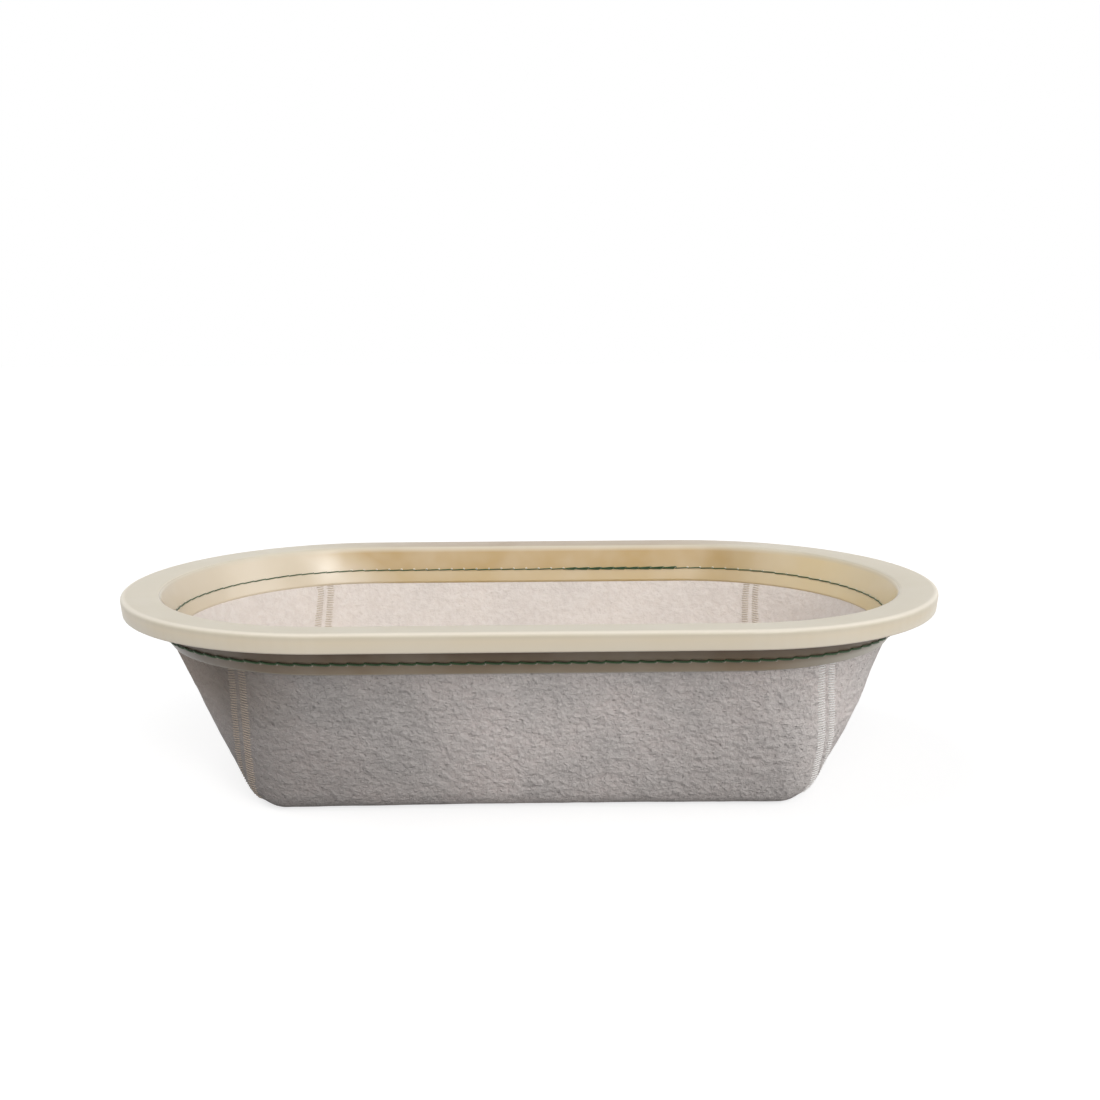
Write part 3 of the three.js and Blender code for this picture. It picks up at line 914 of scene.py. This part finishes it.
for corner, place in enumerate(("back_right", "back_left", "front_left", "front_right")):
    for row in (1, 2):
        for face in ("needle", "bobbin"):
            seamThread(place, corner, row, face)
print("corner seams done,", len(zigzagRows), "strokes a row")

# studio: a pale floor that keeps the shadow, an even white surround and soft light from above
studio = {
    "floorSize": 40.0,
    "floorColor": (0.40, 0.40, 0.40, 1),
    "floorGlow": 0.74,
    "fill": (0.94, 0.96, 1.0, 1),
    "fillStrength": 0.30,
    "lamps": {
        "key": {"energy": 1.2, "angle": 45, "from": (0.22, -0.75, 0.62), "color": (1.0, 0.98, 0.95)},
        "window": {"energy": 0.32, "angle": 12, "from": (0.375, -0.734, 0.538), "color": (1.0, 0.99, 0.97)},
        "left": {"energy": 0.85, "angle": 30, "from": (-0.52, -0.12, 0.85), "color": (1.0, 0.98, 0.96),
                 "gloss": False},
        "right": {"energy": 0.90, "angle": 45, "from": (0.95, -0.12, 0.22), "color": (1.0, 0.985, 0.97)},
    },
}


def shownRays(tree):
    rays = shaderNode(tree, "ShaderNodeLightPath")
    seen = sums(tree, "MAXIMUM", rays.outputs["Is Camera Ray"], rays.outputs["Is Glossy Ray"])
    return sums(tree, "MAXIMUM", seen, rays.outputs["Is Transmission Ray"])


def floorMaterial():
    made, tree, surface = startMaterial("studio_floor")
    where = shaderNode(tree, "ShaderNodeTexCoord").outputs["Object"]
    grain = objectNoise(tree, where, 3.0, 3)
    body = tint(tree, spread(tree, grain, 0.3, 0.7, 0.0, 0.02), studio["floorColor"], (0.42, 0.42, 0.42, 1))
    tree.links.new(body, surface.inputs["Base Color"])
    surface.inputs["Roughness"].default_value = 1.0
    surface.inputs["Specular IOR Level"].default_value = 0.0
    surface.inputs["Emission Color"].default_value = (1, 1, 1, 1)
    glow = sums(tree, "MULTIPLY", shownRays(tree), studio["floorGlow"])
    tree.links.new(glow, surface.inputs["Emission Strength"])
    return made


bm = bmesh.new()
bmesh.ops.create_grid(bm, x_segments=8, y_segments=8, size=studio["floorSize"] / 2)
floorMesh = bpy.data.meshes.new("studio_floor")
bm.to_mesh(floorMesh)
bm.free()
floorMesh.materials.append(floorMaterial())
floor = bpy.data.objects.new("studio_floor", floorMesh)
bpy.context.scene.collection.objects.link(floor)

world = bpy.data.worlds.new("studio_surround")
bpy.context.scene.world = world
world.use_nodes = True
sky = world.node_tree
dim = shaderNode(sky, "ShaderNodeBackground", Color=studio["fill"], Strength=studio["fillStrength"])
white = shaderNode(sky, "ShaderNodeBackground", Color=(1, 1, 1, 1), Strength=1.0)
both = shaderNode(sky, "ShaderNodeMixShader", i0=shownRays(sky), i1=dim.outputs[0], i2=white.outputs[0])
sky.links.new(both.outputs[0], sky.nodes["World Output"].inputs["Surface"])

for name, lamp in studio["lamps"].items():
    light = bpy.data.lights.new("studio_" + name, "SUN")
    light.energy = lamp["energy"]
    light.angle = math.radians(lamp["angle"])
    light.color = lamp["color"]
    hung = bpy.data.objects.new("studio_" + name, light)
    hung.rotation_euler = Vector(lamp["from"]).to_track_quat("Z", "Y").to_euler()
    hung.visible_glossy = lamp.get("gloss", True)
    bpy.context.scene.collection.objects.link(hung)

# camera at the photograph's angle, close to the rim
view = {
    "azimuth": math.radians(-0.9),
    "elevation": math.radians(16.5),
    "roll": math.radians(-0.32),
    "distance": 440 * mm,
    "target": Vector((0, 0, 40 * mm)),
    "focal": 1060.0,
    "centre": (530.7, 669.8),
    "image": 1100,
}
camera = bpy.data.cameras.new("photo_camera")
camera.sensor_width = 36
camera.lens = view["focal"] / view["image"] * camera.sensor_width
camera.shift_x = (view["image"] / 2 - view["centre"][0]) / view["image"]
camera.shift_y = (view["centre"][1] - view["image"] / 2) / view["image"]
camera.clip_start = 0.01
camera.clip_end = 100
camera.dof.use_dof = False
back = Vector((math.sin(view["azimuth"]) * math.cos(view["elevation"]),
               -math.cos(view["azimuth"]) * math.cos(view["elevation"]), math.sin(view["elevation"])))
shooter = bpy.data.objects.new("photo_camera", camera)
shooter.rotation_mode = "QUATERNION"
shooter.location = view["target"] + back * view["distance"]
rolled = Matrix.Rotation(view["roll"], 3, "Z").to_quaternion()
shooter.rotation_quaternion = (-back).to_track_quat("-Z", "Y") @ rolled
bpy.context.scene.collection.objects.link(shooter)
bpy.context.scene.camera = shooter
bpy.context.scene.view_settings.view_transform = "Standard"

print("studio and camera ready")
